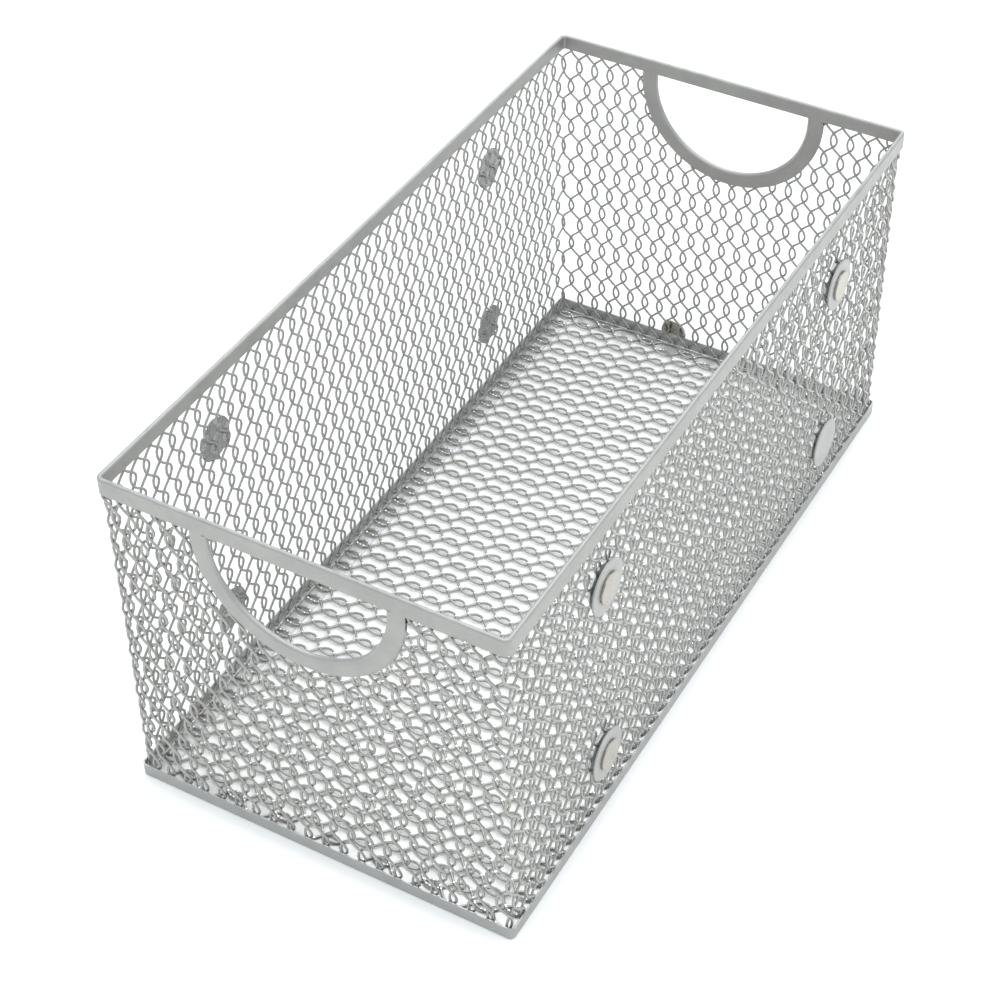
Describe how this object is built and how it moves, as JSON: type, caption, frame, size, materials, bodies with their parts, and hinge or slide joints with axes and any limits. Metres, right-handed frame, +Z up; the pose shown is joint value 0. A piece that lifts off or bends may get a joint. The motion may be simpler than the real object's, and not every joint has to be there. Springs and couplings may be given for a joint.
{
  "type": "wire locker basket",
  "caption": "Rectangular wire mesh basket with a folded metal rim, round cut-out handles in both ends, an angle frame base and magnet plates on one long side.",
  "frame": {"origin": "middle of the frame's underside, at ground level; the magnets and the spare magnet stand outside the basket's own box, so the box's middle is 1.5 mm off in X and 0.5 mm in Y", "axes": "+Z up, +Y along the basket from the front end to the rear end, +X towards the long wall that carries the magnets"},
  "size_m": [0.153, 0.31, 0.14],
  "materials": {
    "painted_sheet": "silver-grey satin paint on folded sheet steel",
    "painted_wire": "silver-grey satin paint on woven steel wire",
    "painted_pad": "silver-grey satin paint over the wires pressed into it",
    "painted_plate": "silver-grey satin paint on a flat steel disc",
    "nickel_magnet": "warm nickel plating with a bright rounded edge"
  },
  "bodies": {
    "root": {"bottom_frame": "painted_sheet", "floor_mesh": "painted_wire", "front_mesh": "painted_wire", "rear_mesh": "painted_wire", "left_mesh": "painted_wire", "right_mesh": "painted_wire", "top_rim": "painted_sheet", "front_handle_ring": "painted_sheet", "rear_handle_ring": "painted_sheet", "left_pad_front_upper": "painted_pad", "left_pad_front_lower": "painted_pad", "left_pad_rear_upper": "painted_pad", "left_pad_rear_lower": "painted_pad", "right_pad_front_upper": "painted_pad", "right_pad_front_lower": "painted_pad", "right_pad_rear_upper": "painted_pad", "right_pad_rear_lower": "painted_pad", "plate_front_upper": "painted_plate", "plate_front_lower": "painted_plate", "plate_rear_upper": "painted_plate", "plate_rear_lower": "painted_plate", "magnet_front_upper": "nickel_magnet", "magnet_front_lower": "nickel_magnet", "magnet_rear_upper": "nickel_magnet", "spare_magnet": "nickel_magnet"}
  },
  "joints": []
}
